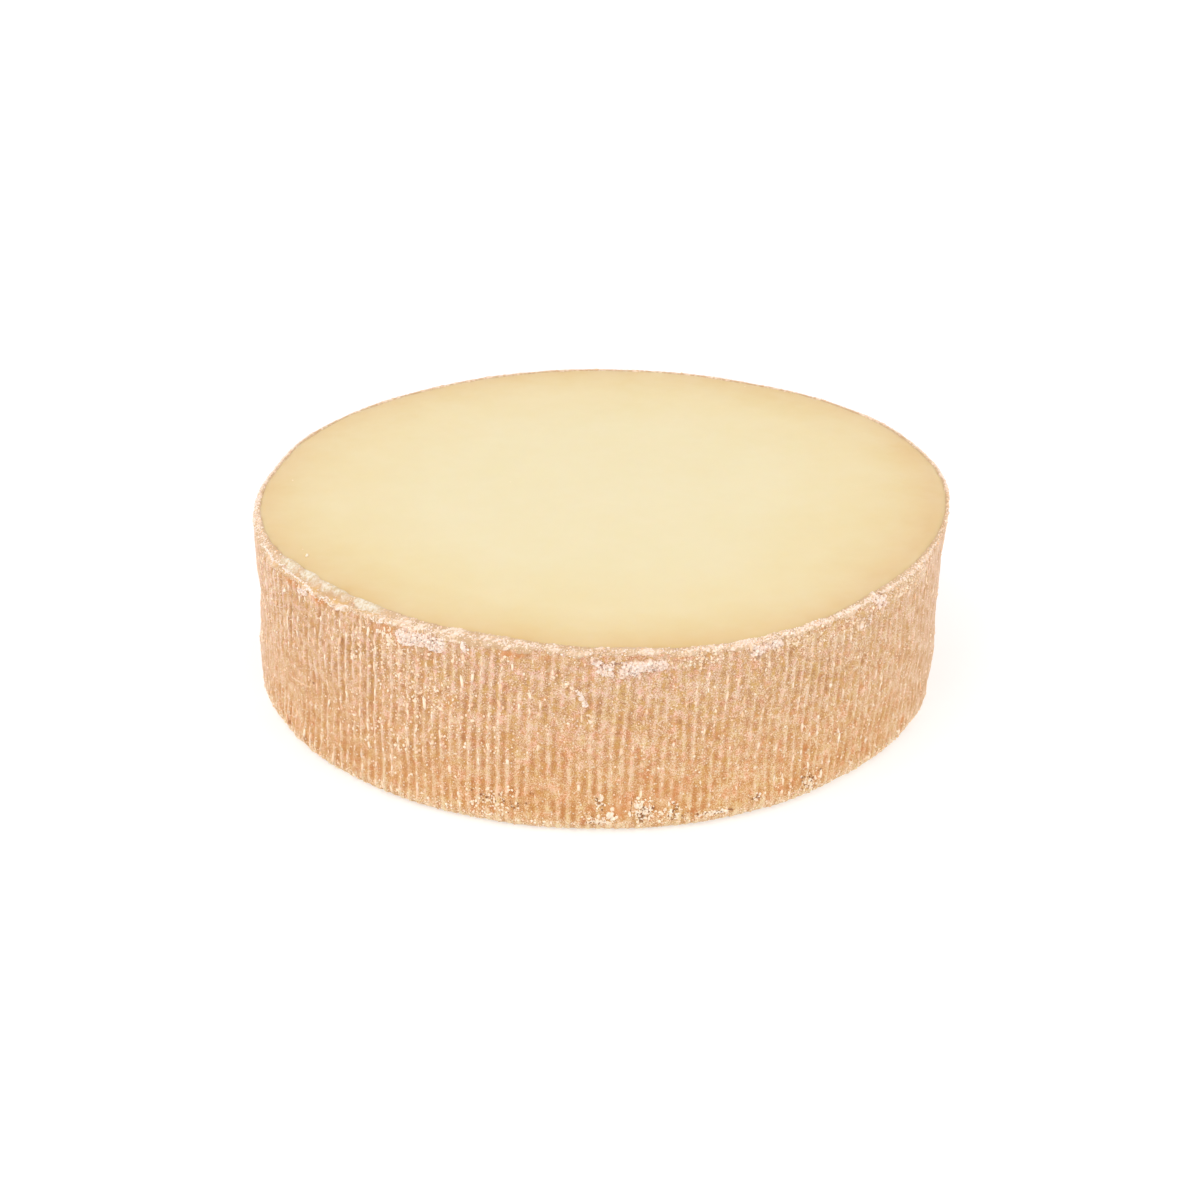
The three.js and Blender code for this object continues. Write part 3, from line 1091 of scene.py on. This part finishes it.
def rim_material():
    shader = Shader("rim")
    grain = shader.noise(0.3, roughness=0.65)
    laced = shader.swung(shader.attribute("lace"), grain, 1.0)
    crumbs = shader.ramp(
        laced,
        (0.0, linear(220, 180, 138)),
        (0.25, linear(230, 196, 160)),
        (0.55, linear(238, 210, 186, CRUMB_LIGHT)),
        (1.0, linear(250, 230, 214, CRUMB_LIGHT)),
    )
    # Clump crust: pale on the raised lace and dark in the hollows between its crumbs, where the dark is
    # partly the orange ground and partly painted shade.
    pinkish = shader.ramp(
        laced,
        (0.0, linear(150, 108, 84, CRUMB_LIGHT)),
        (0.25, linear(206, 166, 142, CRUMB_LIGHT)),
        (0.6, linear(238, 208, 188, CRUMB_LIGHT)),
        (1.0, linear(252, 230, 214, CRUMB_LIGHT)),
    )
    hanging = shader.mix(shader.attribute("clump"), crumbs, pinkish)
    golden = shader.mix(shader.attribute("trough"), hanging, linear(236, 190, 128))
    ridge = shader.ramp(
        shader.noise(0.6, roughness=0.7),
        (0.38, linear(222, 192, 148)),
        (0.48, linear(238, 218, 188)),
        (0.6, linear(248, 238, 220)),
    )
    return shader.finished({
        "Base Color": shader.mix(shader.attribute("smooth"), golden, ridge),
        "Roughness": shader.ramp(grain, *DRY_ROUGHNESS),
        "Normal": shader.bump(shader.noise(0.2), 0.06),
        **soft_finish(0.12, 0.25),
    })


def paste_material():
    shader = Shader("paste")
    colour = shader.ramp(
        shader.swung(shader.attribute("nearness"), shader.noise(6, detail=2), 0.05),
        (0.0, linear(242, 226, 181)),
        (0.5, linear(242, 225, 178)),
        (0.78, linear(241, 219, 166)),
        (0.9, linear(237, 210, 153)),
        (0.96, linear(234, 201, 142)),
        (1.0, linear(230, 193, 134)),
    )
    cloud = shader.ramp(shader.noise(14), (0.35, 0.0), (0.7, 1.0))
    return shader.finished({
        "Base Color": shader.mix(shader.times(cloud, 0.25), colour, linear(247, 232, 196)),
        "Roughness": shader.ramp(shader.noise(2.5), (0.3, 0.42), (0.7, 0.55)),
        "Normal": shader.bump(shader.noise(0.7, detail=2), 0.02),
        **soft_finish(0.35, 2.0, green=0.7, gloss=0.35),
    })


def bits_material(name, dark, pale, light=CRUMB_LIGHT):
    """Each bit's shade between a dark and a pale display colour."""
    shader = Shader(name)
    shade = shader.swung(shader.attribute("shade"), shader.noise(0.2), 0.8)
    return shader.finished({
        "Base Color": shader.mix(shade, linear(*dark, light), linear(*pale, light)),
        "Roughness": 0.7,
        "Normal": shader.bump(shader.noise(0.15), 0.05),
        **soft_finish(0.2, 0.3),
    })


def floor_material():
    shader = Shader("studio_floor")
    return shader.finished({
        "Base Color": shader.ramp(shader.noise(300, detail=1), (0.3, 0.55), (0.7, 0.57)),
        "Roughness": 0.9,
        "Specular IOR Level": 0.1,
        "Emission Color": WHITE,
        "Emission Strength": FLOOR_GLOW,
    })


# ----- studio


def make_floor():
    """A floor that bends up into a back wall."""
    half, back, rise, bend, steps = 1500, 900, 1400, 300, 12
    profile = [(-half, 0.0), (back - bend, 0.0)]
    for step in range(1, steps + 1):
        angle = math.radians(90 * step / steps)
        profile.append((back - bend + bend * math.sin(angle), bend * (1 - math.cos(angle))))
    profile.append((back, rise))
    points = [(x * MM, y * MM, z * MM) for y, z in profile for x in (-half, half)]
    faces = [(2 * i, 2 * i + 1, 2 * i + 3, 2 * i + 2) for i in range(len(profile) - 1)]
    new_piece("studio_floor", points, faces, floor_material())


def add_area_light(name, location, size, power):
    """A square light that looks at the wheel."""
    data = bpy.data.lights.new(name, "AREA")
    data.shape = "SQUARE"
    data.size = size * MM
    data.energy = power
    light = bpy.data.objects.new(name, data)
    light.location = Vector(location) * MM
    towards = Vector(LIGHT_TARGET) * MM - light.location
    light.rotation_euler = towards.to_track_quat("-Z", "Y").to_euler()
    bpy.context.scene.collection.objects.link(light)


def light_studio():
    world = bpy.data.worlds.new("studio_light")
    world.use_nodes = True
    background = world.node_tree.nodes["Background"]
    background.inputs["Color"].default_value = WHITE
    background.inputs["Strength"].default_value = 1.0
    bpy.context.scene.world = world
    add_area_light("key", (-300, -450, 700), size=400, power=1.35)
    add_area_light("fill", (550, -450, 350), size=500, power=1.0)
    add_area_light("side", (-700, -150, 140), size=400, power=0.8)
    bpy.context.scene.view_settings.view_transform = "Standard"


def make_camera():
    data = bpy.data.cameras.new("camera")
    data.lens = CAMERA_LENS
    data.sensor_width = 36.0
    data.clip_start = 0.01
    data.clip_end = 20.0
    camera = bpy.data.objects.new("camera", data)
    elevation = math.radians(CAMERA_ELEVATION)
    back = Vector((0, -math.cos(elevation), math.sin(elevation)))
    camera.location = (Vector(CAMERA_TARGET) + back * CAMERA_DISTANCE) * MM
    camera.rotation_euler = (-back).to_track_quat("-Z", "Y").to_euler()
    bpy.context.scene.collection.objects.link(camera)
    bpy.context.scene.camera = camera


def main():
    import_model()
    make_camera()
    light_studio()
    make_floor()

    rind = rind_surface()
    rim = rim_surface()
    crumb = bits_material("rim_crumb", (236, 192, 148), (255, 238, 216))
    pinkish = bits_material("clump_crumb", (240, 202, 178), (255, 240, 226))
    bloom = bits_material("bloom", (240, 196, 158), (255, 234, 210))
    # dark brown specks, and the painted shade of pits, crevice, crack and gaps between crumbs
    dark = bits_material("fleck_and_shade_brown", (150, 98, 58), (190, 138, 92), STUDIO_LIGHT)
    pieces = [
        rind_piece(rind, rind_material()),
        rim_piece(rim, rim_material()),
        paste_piece(paste_material()),
        paste_flecks(crumb),
        rim_crumbs(rim, crumb),
        lace_crumbs(rim, pinkish),
        clump_crumbs(rim, pinkish),
        white_trails(rind, pinkish),
        side_crumbs(rind, crumb),
        flecks_and_painted_shade(rind, dark),
        rib_bloom(rind, bloom),
        bloom_specks(rind, bloom),
    ]
    for piece in pieces:
        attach(piece, "root")
    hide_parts(NODE)

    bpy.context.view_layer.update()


main()
